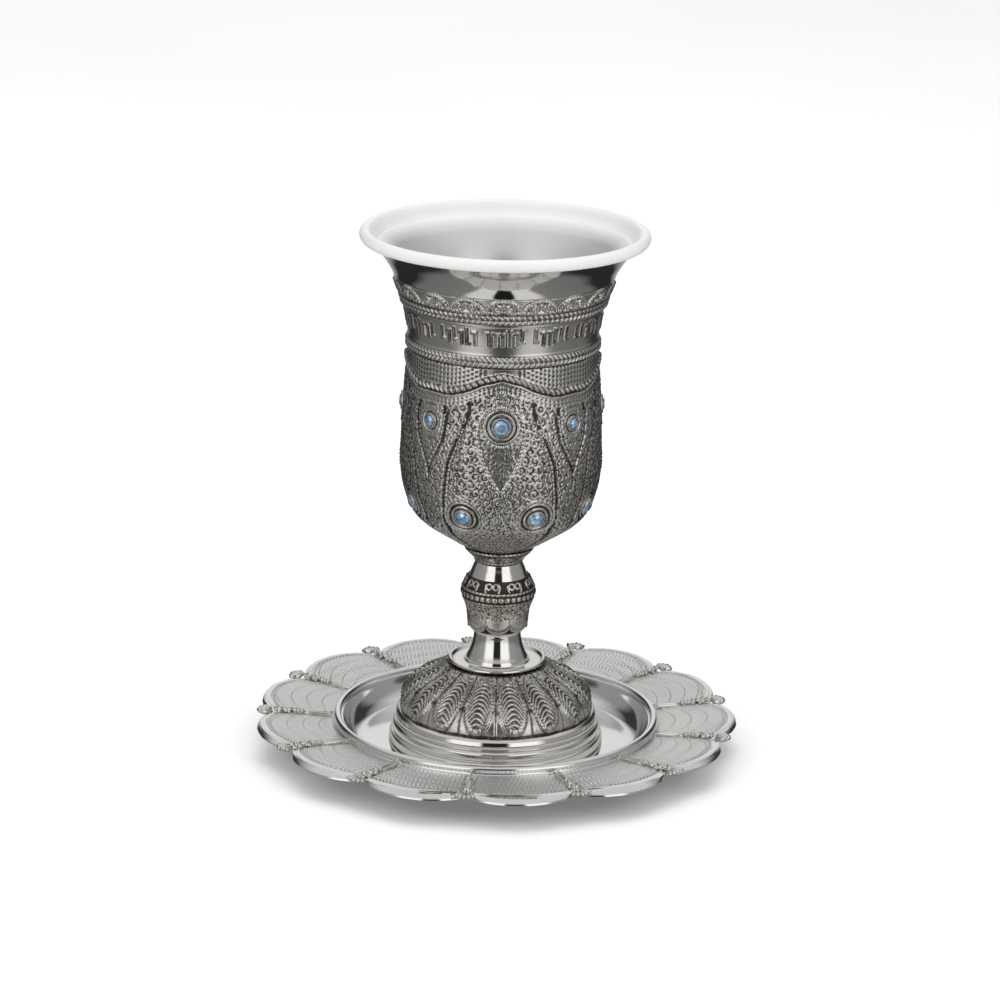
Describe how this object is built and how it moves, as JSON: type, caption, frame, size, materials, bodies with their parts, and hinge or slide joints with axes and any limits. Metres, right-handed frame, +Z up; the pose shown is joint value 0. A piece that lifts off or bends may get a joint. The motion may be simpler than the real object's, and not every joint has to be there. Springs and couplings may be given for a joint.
{
  "type": "kiddush cup with saucer",
  "caption": "Stemmed filigree goblet with a removable plastic liner and small set stones, standing in the well of a petalled saucer.",
  "frame": {"origin": "centre of the saucer's underside, on the surface it stands on", "axes": "+Z up along the cup's axis; -Y is the viewed side, where a large stone and a peak of the wavy rope face"},
  "size_m": [0.135, 0.1358, 0.1499],
  "materials": {
    "saucer_metal": "satin nickel plate, brushed in a fine crossing weave, with polished ring, well and border",
    "antique_metal": "antiqued nickel plate: bright on the raised filigree, dark brown-grey in the recesses",
    "polished_metal": "mirror-polished nickel plate",
    "liner_plastic": "white slightly translucent plastic with a soft sheen",
    "blue_stone": "pale blue faceted stone, glossy and slightly clear"
  },
  "bodies": {
    "root": {"saucer": "saucer_metal", "foot": "antique_metal", "stem": "polished_metal", "collar": "polished_metal", "bowl": "antique_metal", "insert": "liner_plastic", "stone_upper_large_1": "blue_stone", "stone_upper_large_2": "blue_stone", "stone_upper_large_3": "blue_stone", "stone_upper_large_4": "blue_stone", "stone_upper_small_1": "blue_stone", "stone_upper_small_2": "blue_stone", "stone_upper_small_3": "blue_stone", "stone_upper_small_4": "blue_stone", "stone_lower_1": "blue_stone", "stone_lower_2": "blue_stone", "stone_lower_3": "blue_stone", "stone_lower_4": "blue_stone", "stone_lower_5": "blue_stone", "stone_lower_6": "blue_stone", "stone_lower_7": "blue_stone", "stone_lower_8": "blue_stone"}
  },
  "joints": []
}
